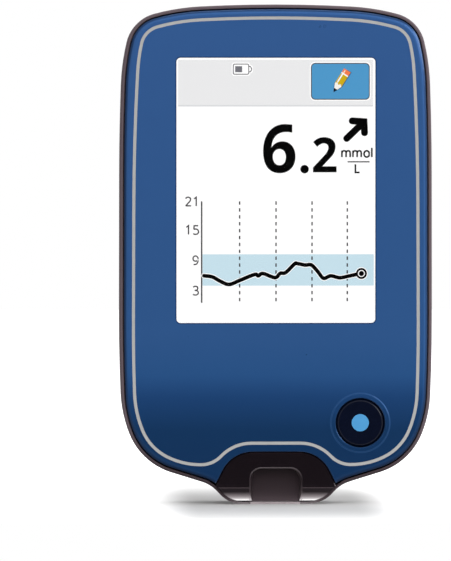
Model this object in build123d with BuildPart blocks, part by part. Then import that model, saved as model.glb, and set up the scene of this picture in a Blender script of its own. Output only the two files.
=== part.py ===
"""Hand-held blood glucose meter with a touch display and a home button, in millimetres.

The meter stands on its foot: +Z is up, +X is to the right of someone facing the
display, and the display faces -Y. The origin is under the middle of the case, on
the plane of the foot. A depth is given as the distance forward of the middle of
the case, so the back is at -8 and the bezel of the button, in front, at 8.
"""

import os

from build123d import *

os.makedirs("parts", exist_ok=True)

# Case
HEIGHT = 95.4
THICKNESS = 16.0
BEZEL_RISE = 0.1
FACE = THICKNESS / 2 - BEZEL_RISE
BACK = -THICKNESS / 2
WALL = 1.4
BACK_ROUND = 5.5
STRAIGHT_FLANK = 27.0287

# Rim of the back cover, which frames the front cover
RIM_FRONT = 7.1
RIM_WIDTH = 0.6
RIM_ROUND = 0.3
RIM_FALL = 4.0
SHELF = 5.1
SIDE_GAP = 0.25

# Front cover
PLATE = 1.7
PLATE_BACK = FACE - PLATE
EDGE_ROUND = 0.9
ARCH_ROUND = 0.2
SKIRT = 1.0
TRIM_INSET = 2.56
TRIM_WIDTH = 0.6
TRIM_DEPTH = 0.4
TRIM_SINK = 0.05

# Display and touch panel
DISPLAY_WIDE = 37.9
DISPLAY_TALL = 50.5
DISPLAY_MIDDLE = 60.0
DISPLAY_CORNER = 0.8
PANEL_WIDE = 42.6
PANEL_TALL = 56.0
PANEL_FRONT = 7.2
PANEL_THICK = 0.9
PANEL_SEAT = 7.4
MODULE_WIDE = 41.0
MODULE_TALL = 54.5
MODULE_BACK = 3.85
GLASS_BACK = 5.1
GLASS_FRONT = 6.12

# Home button
BUTTON_X = 16.1
BUTTON_Z = 15.7
BUTTON_HOLE = 4.7
BUTTON_RADIUS = 4.5
BUTTON_FRONT = 7.7
BUTTON_TRAVEL = 0.35
BEZEL_RADIUS = 5.7
BEZEL_EDGE = 0.15
DOT_RADIUS = 1.64

# Strip port at the foot of the case
PORT_FRONT = 7.7
PORT_BACK = 3.6
PORT_GAP = 0.15
PORT_TOP = 10.2
PORT_FLAT = 4.4
PORT_BEND = 6.5
PORT_SPLAY = 64
PORT_CREASE = 3.2
RECESS_FLOOR = 5.0
SLOT_WIDE = 8.0
SLOT_THICK = 0.7

# Main board and what it carries
BOARD_BACK = 1.4
BOARD_FRONT = 2.4
BOARD_INSET = 3.2
SCREW_X = 24.3
SCREW_Z = (22.0, 84.0)
BATTERY_WIDE = 36.0
BATTERY_TALL = 50.0
BATTERY_MIDDLE = 52.0
BATTERY_BACK = -5.6
BATTERY_FRONT = -1.0


def facing(depth):
    """Plane that faces forward, at this depth, with x to the right and y up."""
    return Plane.XZ.offset(depth)


def tangent_run(start, steps):
    """Smooth line that sets out level. A step is an arc's radius and turn, or a length and no turn."""
    here, heading = Vector(start), Vector(1, 0)
    for size, turn in steps:
        step = JernArc(here, heading, size, turn) if turn else Line(here, here + heading * size)
        here, heading = step @ 1, step % 1
    return step


def onward(edge, length):
    """Straight line that goes on from the end of an edge."""
    return Line(edge @ 1, edge @ 1 + (edge % 1) * length)


# Outline of the case: crown, shoulder, corner and side, then the other side bend, the hip, the
# bottom corner, the slope that runs in to the foot, the waist and the heel
UPPER_CASE = ((275, -3), (42, -12.25), (7.15, -61.3), (41.75, -11.4), (510, -1.95))
LOWER_CASE = ((340, -2.5), (22.1, -19.8), (12.6, -50.6), (6.2, 0), (6.5, 33.5), (6.3, -50.7))
with BuildSketch() as case_outline:
    with BuildLine():
        heel = tangent_run((0, HEIGHT), (*UPPER_CASE, (STRAIGHT_FLANK, 0), *LOWER_CASE))
        Line(heel @ 1, (0, (heel @ 1).Y))
        mirror(about=Plane.YZ)
    make_face()

# Middle of the pale line: it follows the case as far as the bottom corner, then dips, rises
# and passes over the strip port
UPPER_TRIM = ((272.5, -3), (39.1, -12.4), (4.2, -62.5), (36.65, -9.05), (507.5, -2.85), (22.67, 0))
LOWER_TRIM = ((337.5, -2.2), (20.3, -20.7), (9.8, -40.75), (14.25, -27.4), (5.15, -43.55))
TRIM_HUMP = ((0.5, 0), (7.95, 44.4))
with BuildSketch() as trim_middle:
    with BuildLine():
        hump = tangent_run((0, HEIGHT - TRIM_INSET), (*UPPER_TRIM, *LOWER_TRIM, *TRIM_HUMP))
        Line(hump @ 1, (0, (hump @ 1).Y))
        mirror(about=Plane.YZ)
    make_face()

with BuildSketch() as trim_band:
    add(trim_middle.sketch)
    offset(amount=TRIM_WIDTH / 2)
    with BuildSketch(mode=Mode.SUBTRACT):
        add(trim_middle.sketch)
        offset(amount=-TRIM_WIDTH / 2)

# Arch over the strip port, where the front cover ends
with BuildSketch() as port_arch:
    with BuildLine():
        crest = Line((0, PORT_TOP), (PORT_FLAT, PORT_TOP))
        bend = JernArc(crest @ 1, (1, 0), PORT_BEND, -PORT_SPLAY)
        leg = onward(bend, 9)
        Line(leg @ 1, (0, (leg @ 1).Y))
        mirror(about=Plane.YZ)
    make_face()


def slab(back, front, middle, wide, tall, corner=0, mode=Mode.ADD):
    """Block between two depths, whose corners seen from the front may be rounded."""
    with BuildSketch(facing(back)) as face:
        with Locations(middle):
            if corner:
                RectangleRounded(wide, tall, corner)
            else:
                Rectangle(wide, tall)
    extrude(face.sketch, amount=front - back, mode=mode)


def disc(back, front, middle, radius, mode=Mode.ADD):
    """Round block that faces forward, between two depths."""
    with BuildSketch(facing(back)) as face:
        with Locations(middle):
            Circle(radius)
    extrude(face.sketch, amount=front - back, mode=mode)


PIN_SIDES = 12


def pin(back, front, middle, radius, mode=Mode.ADD):
    """Small round block inside the case, drawn with a few flats."""
    with BuildSketch(facing(back)) as face:
        with Locations(middle):
            RegularPolygon(radius, PIN_SIDES)
    extrude(face.sketch, amount=front - back, mode=mode)


# Back cover: a tub whose wall ends in a thin rim round the front cover
BOSS_RADIUS = 2.2
PILOT_RADIUS = 0.75
LIP_WIDTH = 0.5
CATCH_Z = (28, 48, 68)
CATCH_X = 28.85
USB_MIDDLE = 0.15
CORNER_CUT = 2.4
with BuildPart() as hollow:
    with BuildSketch(facing(BACK + WALL)):
        add(case_outline.sketch)
        offset(amount=-WALL)
    extrude(amount=THICKNESS)
    chamfer(hollow.faces().sort_by(Axis.Y)[-1].edges(), CORNER_CUT)

with BuildPart() as back_cover:
    with BuildSketch(facing(BACK)):
        add(case_outline.sketch)
    extrude(amount=RIM_FRONT - BACK)
    fillet(back_cover.faces().sort_by(Axis.Y)[-1].edges(), BACK_ROUND)
    add(hollow.part, mode=Mode.SUBTRACT)
    with BuildSketch(facing(SHELF)):
        add(case_outline.sketch)
        offset(amount=-RIM_WIDTH)
    extrude(amount=THICKNESS, mode=Mode.SUBTRACT)
    rim_face = back_cover.faces().sort_by(Axis.Y)[0]
    chamfer(rim_face.outer_wire().edges(), RIM_ROUND)
    # Seat of the strip port cover, and the rim falling away in front of it
    with BuildSketch(facing(PORT_BACK - 0.1)):
        add(port_arch.sketch)
        offset(amount=1.15)
        with BuildSketch(mode=Mode.INTERSECT):
            add(case_outline.sketch)
            offset(amount=-LIP_WIDTH)
    extrude(amount=THICKNESS, mode=Mode.SUBTRACT)
    with BuildSketch(Plane.YZ.offset(-12.6)):
        with BuildLine():
            rim_roll = Bezier((-7.15, RIM_FALL), (-7.0, 1.9), (-5.6, 0.2), (-3.4, -0.25))
            Polyline(rim_roll @ 1, (-3.4, -1), (-9, -1), (-9, RIM_FALL), rim_roll @ 0)
        make_face()
    extrude(amount=25.2, mode=Mode.SUBTRACT)
    # Window for the charging socket in the top edge
    with BuildSketch(Plane.XY.offset(HEIGHT - 4)):
        with Locations((0, -USB_MIDDLE)):
            RectangleRounded(8.2, 3.1, 0.7)
    extrude(amount=8, mode=Mode.SUBTRACT)
    # Low wall round the battery
    with BuildSketch(facing(BACK + WALL)):
        with Locations((0, BATTERY_MIDDLE)):
            Rectangle(BATTERY_WIDE + 2.6, BATTERY_TALL + 2.6)
            Rectangle(BATTERY_WIDE + 0.6, BATTERY_TALL + 0.6, mode=Mode.SUBTRACT)
            Rectangle(BATTERY_WIDE - 10, BATTERY_TALL + 6, mode=Mode.SUBTRACT)
            Rectangle(BATTERY_WIDE + 6, BATTERY_TALL - 16, mode=Mode.SUBTRACT)
    extrude(amount=2)
    # Screw bosses, each tied to the side wall by a rib
    for side in (-1, 1):
        for boss_z in SCREW_Z:
            disc(BACK + WALL, BOARD_BACK, (side * SCREW_X, boss_z), BOSS_RADIUS)
            with BuildSketch(facing(-4)):
                with Locations((side * (SCREW_X + 2), boss_z)):
                    Rectangle(3.6, 0.8)
            extrude(amount=4)
            pin(BACK + WALL + 1, BOARD_FRONT, (side * SCREW_X, boss_z), PILOT_RADIUS, mode=Mode.SUBTRACT)
    # Catches for the hooks of the front cover
    for side in (-1, 1):
        for catch_z in CATCH_Z:
            with BuildSketch(facing(1.8)):
                with Locations((side * (CATCH_X - 0.6), catch_z)):
                    Rectangle(1.2, 7)
            extrude(amount=1.6, mode=Mode.SUBTRACT)
back_cover.part.label = "back_cover"
export_step(back_cover.part, "parts/back_cover.step")


# Front cover: a plate with a skirt, open at the foot round the strip port
HOOK_WIDE = 6.0
HOOK_THICK = 0.8
HOOK_OUTSIDE = 28.15
HOOK_TIP = 2.0
HOOK_BARB = 0.45
with BuildPart() as front_cover:
    with BuildSketch(facing(PLATE_BACK)):
        add(case_outline.sketch)
        offset(amount=-RIM_WIDTH - SIDE_GAP)
    extrude(amount=PLATE)
    fillet(front_cover.faces().sort_by(Axis.Y)[0].edges(), EDGE_ROUND)
    with BuildSketch(facing(PLATE_BACK)):
        add(port_arch.sketch)
    extrude(amount=PLATE, mode=Mode.SUBTRACT)
    fillet(front_cover.edges(Select.LAST).group_by(Axis.Y)[0], ARCH_ROUND)
    with BuildSketch(facing(SHELF + 0.1)):
        add(case_outline.sketch)
        offset(amount=-RIM_WIDTH - SIDE_GAP)
        with BuildSketch(mode=Mode.SUBTRACT):
            add(case_outline.sketch)
            offset(amount=-RIM_WIDTH - SIDE_GAP - SKIRT)
        with BuildSketch(mode=Mode.SUBTRACT):
            add(port_arch.sketch)
            offset(amount=1.3)
    extrude(until=Until.NEXT)
    # Hooks that catch in the side walls of the back cover
    for side in (-1, 1):
        for catch_z in CATCH_Z:
            with BuildSketch(Plane.XY.offset(catch_z - HOOK_WIDE / 2)):
                with BuildLine():
                    Polyline(
                        (side * HOOK_OUTSIDE, -PLATE_BACK),
                        (side * HOOK_OUTSIDE, -HOOK_TIP - 1.2),
                        (side * (HOOK_OUTSIDE + HOOK_BARB), -HOOK_TIP - 1.0),
                        (side * HOOK_OUTSIDE, -HOOK_TIP),
                        (side * (HOOK_OUTSIDE - HOOK_THICK), -HOOK_TIP),
                        (side * (HOOK_OUTSIDE - HOOK_THICK), -PLATE_BACK),
                        close=True,
                    )
                make_face()
            extrude(amount=HOOK_WIDE)
    # Window for the display, with a seat behind it for the touch panel
    with BuildSketch(facing(PLATE_BACK)):
        with Locations((0, DISPLAY_MIDDLE)):
            RectangleRounded(PANEL_WIDE + 0.4, PANEL_TALL + 0.4, 1.5)
    extrude(amount=PANEL_SEAT - PLATE_BACK, mode=Mode.SUBTRACT)
    with BuildSketch(facing(PLATE_BACK)):
        with Locations((0, DISPLAY_MIDDLE)):
            RectangleRounded(DISPLAY_WIDE, DISPLAY_TALL, DISPLAY_CORNER)
    extrude(amount=PLATE + 1, mode=Mode.SUBTRACT)
    # Collar that guides the flange of the home button
    with BuildSketch(facing(PLATE_BACK - 1.6)):
        with Locations((BUTTON_X, BUTTON_Z)):
            Circle(6.4)
            Circle(5.55, mode=Mode.SUBTRACT)
        with BuildSketch(mode=Mode.INTERSECT):
            add(case_outline.sketch)
            offset(amount=-WALL - 0.3)
    extrude(until=Until.NEXT)
    # Raised bezel and hole of the home button
    with BuildSketch(Plane.XY.offset(BUTTON_Z)):
        with BuildLine():
            Polyline(
                (BUTTON_X + 1, -PLATE_BACK),
                (BUTTON_X + 1, -FACE - BEZEL_RISE),
                (BUTTON_X + BEZEL_RADIUS - BEZEL_EDGE, -FACE - BEZEL_RISE),
                (BUTTON_X + BEZEL_RADIUS, -FACE),
                (BUTTON_X + BEZEL_RADIUS, -PLATE_BACK),
                close=True,
            )
        make_face()
    revolve(axis=Axis((BUTTON_X, 0, BUTTON_Z), (0, 1, 0)))
    disc(PLATE_BACK, FACE + BEZEL_RISE, (BUTTON_X, BUTTON_Z), BUTTON_HOLE, mode=Mode.SUBTRACT)
    chamfer(front_cover.edges(Select.LAST).sort_by(Axis.Y)[0], BEZEL_EDGE)
    # Groove of the pale line
    with BuildSketch(facing(FACE - TRIM_DEPTH)):
        add(trim_band.sketch)
    extrude(amount=TRIM_DEPTH, mode=Mode.SUBTRACT)
front_cover.part.label = "front_cover"
export_step(front_cover.part, "parts/front_cover.step")


# Pale line let into the face
with BuildPart() as trim_line:
    with BuildSketch(facing(FACE - TRIM_DEPTH)):
        add(trim_band.sketch)
    extrude(amount=TRIM_DEPTH - TRIM_SINK)
trim_line.part.label = "trim_line"
export_step(trim_line.part, "parts/trim_line.step")


# Strip port cover: gloss black, rolled over at the foot, with a recess that leads the strip in
RECESS_FRONT_HALF = 4.9
RECESS_FLOOR_HALF = 4.45
RECESS_TOP = 7.1
RECESS_FLOOR_TOP = 6.7
RECESS_EDGE = 0.15
PORT_EDGE = 0.2
with BuildPart() as strip_port_cover:
    with BuildSketch(facing(PORT_BACK)):
        add(case_outline.sketch)
        offset(amount=-RIM_WIDTH)
        with BuildSketch(mode=Mode.INTERSECT):
            add(port_arch.sketch)
            offset(amount=-PORT_GAP)
    extrude(amount=PORT_FRONT - PORT_BACK)
    port_face = strip_port_cover.faces().sort_by(Axis.Y)[0]
    chamfer(port_face.edges().sort_by(Axis.Z)[-3:], PORT_EDGE)
    # Flange that the front cover holds down
    with BuildSketch(facing(PORT_BACK)):
        add(port_arch.sketch)
        offset(amount=1.0)
        with BuildSketch(mode=Mode.INTERSECT):
            add(case_outline.sketch)
            offset(amount=-RIM_WIDTH - SIDE_GAP - SKIRT - 0.2)
    extrude(amount=PLATE_BACK - 0.1 - PORT_BACK)
    # Rolled lower edge
    with BuildSketch(Plane.YZ.offset(-14)):
        with BuildLine():
            Line((-PORT_FRONT - 1, PORT_CREASE), (-PORT_FRONT, PORT_CREASE))
            roll = Bezier((-PORT_FRONT, PORT_CREASE), (-7.45, 1.8), (-6.3, 0.5), (-PORT_BACK, 0.45))
            Polyline(
                roll @ 1,
                (-PORT_BACK, -1),
                (-PORT_FRONT - 1, -1),
                (-PORT_FRONT - 1, PORT_CREASE),
            )
        make_face()
    extrude(amount=28, mode=Mode.SUBTRACT)
    # Recess, wider at the front than on its floor
    with BuildSketch(facing(RECESS_FLOOR)):
        with Locations((0, RECESS_FLOOR_TOP / 2 - 2)):
            RectangleRounded(2 * RECESS_FLOOR_HALF, RECESS_FLOOR_TOP + 4, 1.7)
    with BuildSketch(facing(PORT_FRONT + 0.1)):
        with Locations((0, RECESS_TOP / 2 - 2)):
            RectangleRounded(2 * RECESS_FRONT_HALF, RECESS_TOP + 4, 2.1)
    loft(mode=Mode.SUBTRACT)
    recess_edges = strip_port_cover.edges(Select.LAST)
    recess_foot = recess_edges.filter_by(Axis.X).sort_by(Axis.Z)[0]
    chamfer(recess_edges.group_by(Axis.Y)[0] + [recess_foot], RECESS_EDGE)
    # Slot for the strip
    with BuildSketch(Plane.XY.offset(RECESS_FLOOR_TOP - 1)):
        with Locations((0, -RECESS_FLOOR - SLOT_THICK / 2)):
            Rectangle(SLOT_WIDE, SLOT_THICK)
    extrude(amount=10, mode=Mode.SUBTRACT)
strip_port_cover.part.label = "strip_port_cover"
export_step(strip_port_cover.part, "parts/strip_port_cover.step")


# Touch panel and the foam that seals it against the front cover
GLASS_MIDDLE = (0, DISPLAY_MIDDLE)
with BuildPart() as touch_panel:
    slab(PANEL_FRONT - PANEL_THICK, PANEL_FRONT, GLASS_MIDDLE, PANEL_WIDE, PANEL_TALL, 1.2)
touch_panel.part.label = "touch_panel"
export_step(touch_panel.part, "parts/touch_panel.step")

with BuildPart() as panel_gasket:
    slab(PANEL_FRONT, PANEL_SEAT, GLASS_MIDDLE, PANEL_WIDE, PANEL_TALL, 1.2)
    slab(
        PANEL_FRONT,
        PANEL_SEAT,
        GLASS_MIDDLE,
        DISPLAY_WIDE + 0.6,
        DISPLAY_TALL + 0.6,
        mode=Mode.SUBTRACT,
    )
panel_gasket.part.label = "panel_gasket"
export_step(panel_gasket.part, "parts/panel_gasket.step")


# Display: two sheets of glass, the lower one with a ledge for the driver chip
LEDGE = 1.5
GLASS_SHEET = 0.55
with BuildPart() as lcd_glass:
    slab(GLASS_BACK, GLASS_BACK + GLASS_SHEET, GLASS_MIDDLE, MODULE_WIDE, MODULE_TALL)
    slab(
        GLASS_BACK + GLASS_SHEET,
        GLASS_FRONT,
        (0, DISPLAY_MIDDLE + LEDGE / 2),
        MODULE_WIDE,
        MODULE_TALL - LEDGE,
    )
lcd_glass.part.label = "lcd_glass"
export_step(lcd_glass.part, "parts/lcd_glass.step")

LEDGE_Z = DISPLAY_MIDDLE - MODULE_TALL / 2 + LEDGE / 2
LEDGE_FRONT = GLASS_BACK + GLASS_SHEET
with BuildPart() as display_driver:
    slab(LEDGE_FRONT, LEDGE_FRONT + 0.3, (0, LEDGE_Z + 0.2), 16, 0.7)
display_driver.part.label = "display_driver"
export_step(display_driver.part, "parts/display_driver.step")

with BuildPart() as backlight:
    slab(MODULE_BACK + 0.25, GLASS_BACK, GLASS_MIDDLE, MODULE_WIDE - 0.6, MODULE_TALL - 0.6)
backlight.part.label = "backlight"
export_step(backlight.part, "parts/backlight.step")

with BuildPart() as display_tray:
    slab(MODULE_BACK, GLASS_BACK - 0.05, GLASS_MIDDLE, MODULE_WIDE, MODULE_TALL)
    tray_mouth = display_tray.faces().sort_by(Axis.Y)[0]
    offset(amount=-0.2, openings=tray_mouth)
display_tray.part.label = "display_tray"
export_step(display_tray.part, "parts/display_tray.step")


# Ribbon from the ledge of the display, round the carrier, to its connector on the board
RIBBON_WIDE = 14.0
RIBBON_THICK = 0.12
RIBBON_BEND = 1.3
CONNECTOR_Z = 25.6
with BuildPart() as display_ribbon:
    with BuildSketch(Plane.YZ.offset(-RIBBON_WIDE / 2)):
        with BuildLine():
            ledge_run = Line((-LEDGE_FRONT - 0.07, LEDGE_Z - 0.3), (-LEDGE_FRONT - 0.07, 31.2))
            bend_back = JernArc(ledge_run @ 1, (0, -1), RIBBON_BEND, 60)
            ramp = onward(bend_back, 1.64)
            bend_down = JernArc(ramp @ 1, ramp % 1, RIBBON_BEND, -60)
            Line(bend_down @ 1, ((bend_down @ 1).X, CONNECTOR_Z + 0.4))
        trace(line_width=RIBBON_THICK)
    extrude(amount=RIBBON_WIDE)
display_ribbon.part.label = "display_ribbon"
export_step(display_ribbon.part, "parts/display_ribbon.step")

with BuildPart() as display_connector:
    slab(BOARD_FRONT, BOARD_FRONT + 1.0, (0, CONNECTOR_Z), RIBBON_WIDE + 3, 2.8)
    slab(
        BOARD_FRONT + 0.45,
        BOARD_FRONT + 0.75,
        (0, CONNECTOR_Z + 1.2),
        RIBBON_WIDE + 0.4,
        2.6,
        mode=Mode.SUBTRACT,
    )
display_connector.part.label = "display_connector"
export_step(display_connector.part, "parts/display_connector.step")


# Frame that carries the display on the main board
CARRIER_BACK = BOARD_FRONT + 0.1
CARRIER_WIDE = 45.4
CARRIER_TALL = 59.0
with BuildPart() as display_carrier:
    slab(CARRIER_BACK, PLATE_BACK - 0.1, GLASS_MIDDLE, CARRIER_WIDE, CARRIER_TALL, 1.5)
    slab(
        MODULE_BACK - 0.05,
        PLATE_BACK,
        GLASS_MIDDLE,
        MODULE_WIDE + 0.3,
        MODULE_TALL + 0.3,
        mode=Mode.SUBTRACT,
    )
    for window_z in (DISPLAY_MIDDLE - 14, DISPLAY_MIDDLE + 14):
        slab(CARRIER_BACK, PLATE_BACK, (0, window_z), 34, 24, mode=Mode.SUBTRACT)
    slab(
        MODULE_BACK + 0.9,
        PLATE_BACK,
        (0, DISPLAY_MIDDLE - CARRIER_TALL / 2),
        RIBBON_WIDE + 1.5,
        6,
        mode=Mode.SUBTRACT,
    )
display_carrier.part.label = "display_carrier"
export_step(display_carrier.part, "parts/display_carrier.step")


# Main board: follows the case and stops short of the strip port
BOARD_FOOT = 9.5
with BuildPart() as main_board:
    with BuildSketch(facing(BOARD_BACK)):
        add(case_outline.sketch)
        offset(amount=-BOARD_INSET)
        with Locations((0, BOARD_FOOT - 10)):
            Rectangle(60, 20, mode=Mode.SUBTRACT)
        for side in (-1, 1):
            for boss_z in SCREW_Z:
                with Locations((side * SCREW_X, boss_z)):
                    RegularPolygon(1.0, PIN_SIDES, mode=Mode.SUBTRACT)
    extrude(amount=BOARD_FRONT - BOARD_BACK)
main_board.part.label = "main_board"
export_step(main_board.part, "parts/main_board.step")

with BuildPart() as board_screws:
    for side in (-1, 1):
        for boss_z in SCREW_Z:
            pin(BOARD_FRONT, BOARD_FRONT + 0.9, (side * SCREW_X, boss_z), 1.4)
            pin(BOARD_FRONT - 6, BOARD_FRONT, (side * SCREW_X, boss_z), 0.7)
board_screws.part.label = "board_screws"
export_step(board_screws.part, "parts/board_screws.step")


# Chips on the back of the board
with BuildPart() as microcontroller:
    slab(BOARD_BACK - 1.3, BOARD_BACK, (6, 45), 10, 10)
microcontroller.part.label = "microcontroller"
export_step(microcontroller.part, "parts/microcontroller.step")

with BuildPart() as memory_chip:
    slab(BOARD_BACK - 1.0, BOARD_BACK, (-8, 42), 5, 6)
memory_chip.part.label = "memory_chip"
export_step(memory_chip.part, "parts/memory_chip.step")

with BuildPart() as reader_chip:
    slab(BOARD_BACK - 0.9, BOARD_BACK, (-9, 62), 5, 5)
reader_chip.part.label = "reader_chip"
export_step(reader_chip.part, "parts/reader_chip.step")

with BuildPart() as power_chip:
    slab(BOARD_BACK - 0.9, BOARD_BACK, (9, 70), 4, 4)
power_chip.part.label = "power_chip"
export_step(power_chip.part, "parts/power_chip.step")

with BuildPart() as crystal:
    slab(BOARD_BACK - 0.8, BOARD_BACK, (-2, 53), 3.2, 1.5)
crystal.part.label = "crystal"
export_step(crystal.part, "parts/crystal.step")

with BuildPart() as chip_capacitors:
    with BuildSketch(facing(BOARD_BACK - 0.5)):
        with Locations((-9, 69), (9, 63), (6, 37)):
            with GridLocations(2.2, 1.6, 3, 2):
                Rectangle(1.0, 0.5)
    extrude(amount=0.5)
chip_capacitors.part.label = "chip_capacitors"
export_step(chip_capacitors.part, "parts/chip_capacitors.step")


# Battery pouch with its protection board, leads and connector
POUCH_TALL = BATTERY_TALL - 3.4
POUCH_MIDDLE = (0, BATTERY_MIDDLE - 1.7)
SAFETY_Z = BATTERY_MIDDLE + BATTERY_TALL / 2 - 1.5
with BuildPart() as battery_cell:
    slab(BATTERY_BACK, BATTERY_FRONT, POUCH_MIDDLE, BATTERY_WIDE, POUCH_TALL)
    chamfer(battery_cell.edges().filter_by(Axis.Y), 1.5)
    chamfer(battery_cell.faces().filter_by(Axis.Y).edges(), 0.8)
battery_cell.part.label = "battery_cell"
export_step(battery_cell.part, "parts/battery_cell.step")

with BuildPart() as battery_board:
    slab(-4.1, -2.9, (0, SAFETY_Z), 30, 2.8)
battery_board.part.label = "battery_board"
export_step(battery_board.part, "parts/battery_board.step")

LEAD_RADIUS = 0.4
PLUG_Z = 84.6
with BuildPart() as battery_leads:
    for lead_x in (-1.0, 1.0):
        with BuildLine() as lead_run:
            Line((lead_x, 3.4, SAFETY_Z + 1.65), (lead_x, 0.1, PLUG_Z - 1.75))
        with BuildSketch(Plane(lead_run.line @ 0, z_dir=lead_run.line % 0)):
            Circle(LEAD_RADIUS)
        sweep(path=lead_run.line)
battery_leads.part.label = "battery_leads"
export_step(battery_leads.part, "parts/battery_leads.step")

with BuildPart() as battery_plug:
    slab(BOARD_BACK - 2.2, BOARD_BACK, (0, PLUG_Z), 5, 3)
battery_plug.part.label = "battery_plug"
export_step(battery_plug.part, "parts/battery_plug.step")

with BuildPart() as battery_pad:
    slab(-6.15, BATTERY_BACK - 0.05, POUCH_MIDDLE, 30, 40)
battery_pad.part.label = "battery_pad"
export_step(battery_pad.part, "parts/battery_pad.step")


# Antenna coil on the floor of the back cover, with a ferrite sheet over it
COIL_MIDDLE = (0, BATTERY_MIDDLE)
FLOOR = BACK + WALL
with BuildPart() as antenna_coil:
    slab(FLOOR, FLOOR + 0.15, COIL_MIDDLE, 42, 60)
    slab(FLOOR, FLOOR + 0.15, COIL_MIDDLE, 39.6, 54.4, mode=Mode.SUBTRACT)
    with BuildSketch(Plane.YZ.offset(11)):
        with BuildLine():
            tail_start = Line((-FLOOR - 0.075, 80.5), (-FLOOR - 0.075, 82.6))
            tail_bend = JernArc(tail_start @ 1, (0, 1), 2.2, 75)
            tail_rise = onward(tail_bend, 3.4)
            tail_end = JernArc(tail_rise @ 1, tail_rise % 1, 2.2, -75)
            Line(tail_end @ 1, tail_end @ 1 + (0, 0.6))
        trace(line_width=0.15)
    extrude(amount=3)
antenna_coil.part.label = "antenna_coil"
export_step(antenna_coil.part, "parts/antenna_coil.step")

with BuildPart() as ferrite_sheet:
    slab(FLOOR + 0.17, FLOOR + 0.37, COIL_MIDDLE, 42, 60)
    slab(FLOOR + 0.17, FLOOR + 0.37, COIL_MIDDLE, 39.6, 54.4, mode=Mode.SUBTRACT)
    slab(FLOOR, FLOOR + 1, (12.5, BATTERY_MIDDLE + 30), 4, 4, mode=Mode.SUBTRACT)
ferrite_sheet.part.label = "ferrite_sheet"
export_step(ferrite_sheet.part, "parts/ferrite_sheet.step")


# Charging socket in the top edge: a folded shell that narrows to the back
SOCKET_FOOT = HEIGHT - 6.0
SOCKET_MOUTH = HEIGHT - 0.5
SOCKET_HALF = 3.75
SOCKET_FRONT = -BOARD_BACK
SOCKET_DEEP = 2.5
with BuildPart() as usb_shell:
    with BuildSketch(Plane.XY.offset(SOCKET_FOOT)) as socket_shape:
        with BuildLine():
            Polyline(
                (-SOCKET_HALF, SOCKET_FRONT),
                (SOCKET_HALF, SOCKET_FRONT),
                (SOCKET_HALF, SOCKET_FRONT + 1.5),
                (SOCKET_HALF - 1, SOCKET_FRONT + SOCKET_DEEP),
                (-SOCKET_HALF + 1, SOCKET_FRONT + SOCKET_DEEP),
                (-SOCKET_HALF, SOCKET_FRONT + 1.5),
                close=True,
            )
        make_face()
        fillet(socket_shape.vertices(), 0.4)
    extrude(amount=SOCKET_MOUTH - SOCKET_FOOT)
    offset(amount=-0.3, openings=usb_shell.faces().sort_by(Axis.Z)[-1])
usb_shell.part.label = "usb_shell"
export_step(usb_shell.part, "parts/usb_shell.step")

with BuildPart() as usb_tongue:
    with BuildSketch(Plane.XY.offset(SOCKET_FOOT + 0.35)):
        with Locations((0, SOCKET_FRONT + 0.95)):
            Rectangle(4.6, 0.7)
    extrude(amount=4.3)
usb_tongue.part.label = "usb_tongue"
export_step(usb_tongue.part, "parts/usb_tongue.step")


# Strip connector behind the slot, with five spring contacts under the strip
STRIP_FOOT = 11.4
STRIP_TOP = 21.2
CONTACT_PITCH = 1.5
with BuildPart() as strip_connector:
    slab(
        BOARD_FRONT,
        PLATE_BACK - 0.1,
        (0, (STRIP_FOOT + STRIP_TOP) / 2),
        SLOT_WIDE + 3,
        STRIP_TOP - STRIP_FOOT,
    )
    with BuildSketch(Plane.XY.offset(STRIP_FOOT)):
        with Locations((0, -RECESS_FLOOR - SLOT_THICK / 2)):
            Rectangle(SLOT_WIDE, SLOT_THICK)
    extrude(amount=7.8, mode=Mode.SUBTRACT)
    with BuildSketch(Plane.XY.offset(STRIP_FOOT + 1.5)):
        with Locations((0, -(BOARD_FRONT + RECESS_FLOOR) / 2)):
            with GridLocations(CONTACT_PITCH, 1, 5, 1):
                Rectangle(0.9, RECESS_FLOOR - BOARD_FRONT)
    extrude(amount=STRIP_TOP - STRIP_FOOT, mode=Mode.SUBTRACT)
strip_connector.part.label = "strip_connector"
export_step(strip_connector.part, "parts/strip_connector.step")

with BuildPart() as strip_contacts:
    for place in range(5):
        contact_x = (place - 2) * CONTACT_PITCH
        with BuildSketch(Plane.YZ.offset(contact_x - 0.25)):
            with BuildLine():
                Polyline(
                    (-BOARD_FRONT - 0.1, STRIP_TOP + 1),
                    (-BOARD_FRONT - 0.1, STRIP_TOP - 0.6),
                    (-RECESS_FLOOR + 0.75, STRIP_TOP - 1.6),
                    (-RECESS_FLOOR - 0.05, STRIP_TOP - 4.6),
                    (-RECESS_FLOOR + 0.3, STRIP_TOP - 5.4),
                )
            trace(line_width=0.14)
        extrude(amount=0.5)
strip_contacts.part.label = "strip_contacts"
export_step(strip_contacts.part, "parts/strip_contacts.step")


# Buzzer and vibration motor on the back of the board
with BuildPart() as buzzer:
    disc(BOARD_BACK - 2.3, BOARD_BACK, (-15, 19), 4.5)
    disc(BOARD_BACK - 2.3, BOARD_BACK - 1.5, (-15, 19), 0.7, mode=Mode.SUBTRACT)
buzzer.part.label = "buzzer"
export_step(buzzer.part, "parts/buzzer.step")

with BuildPart() as vibration_motor:
    disc(BOARD_BACK - 2.7, BOARD_BACK - 0.05, (15, 19), 4)
vibration_motor.part.label = "vibration_motor"
export_step(vibration_motor.part, "parts/vibration_motor.step")


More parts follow.
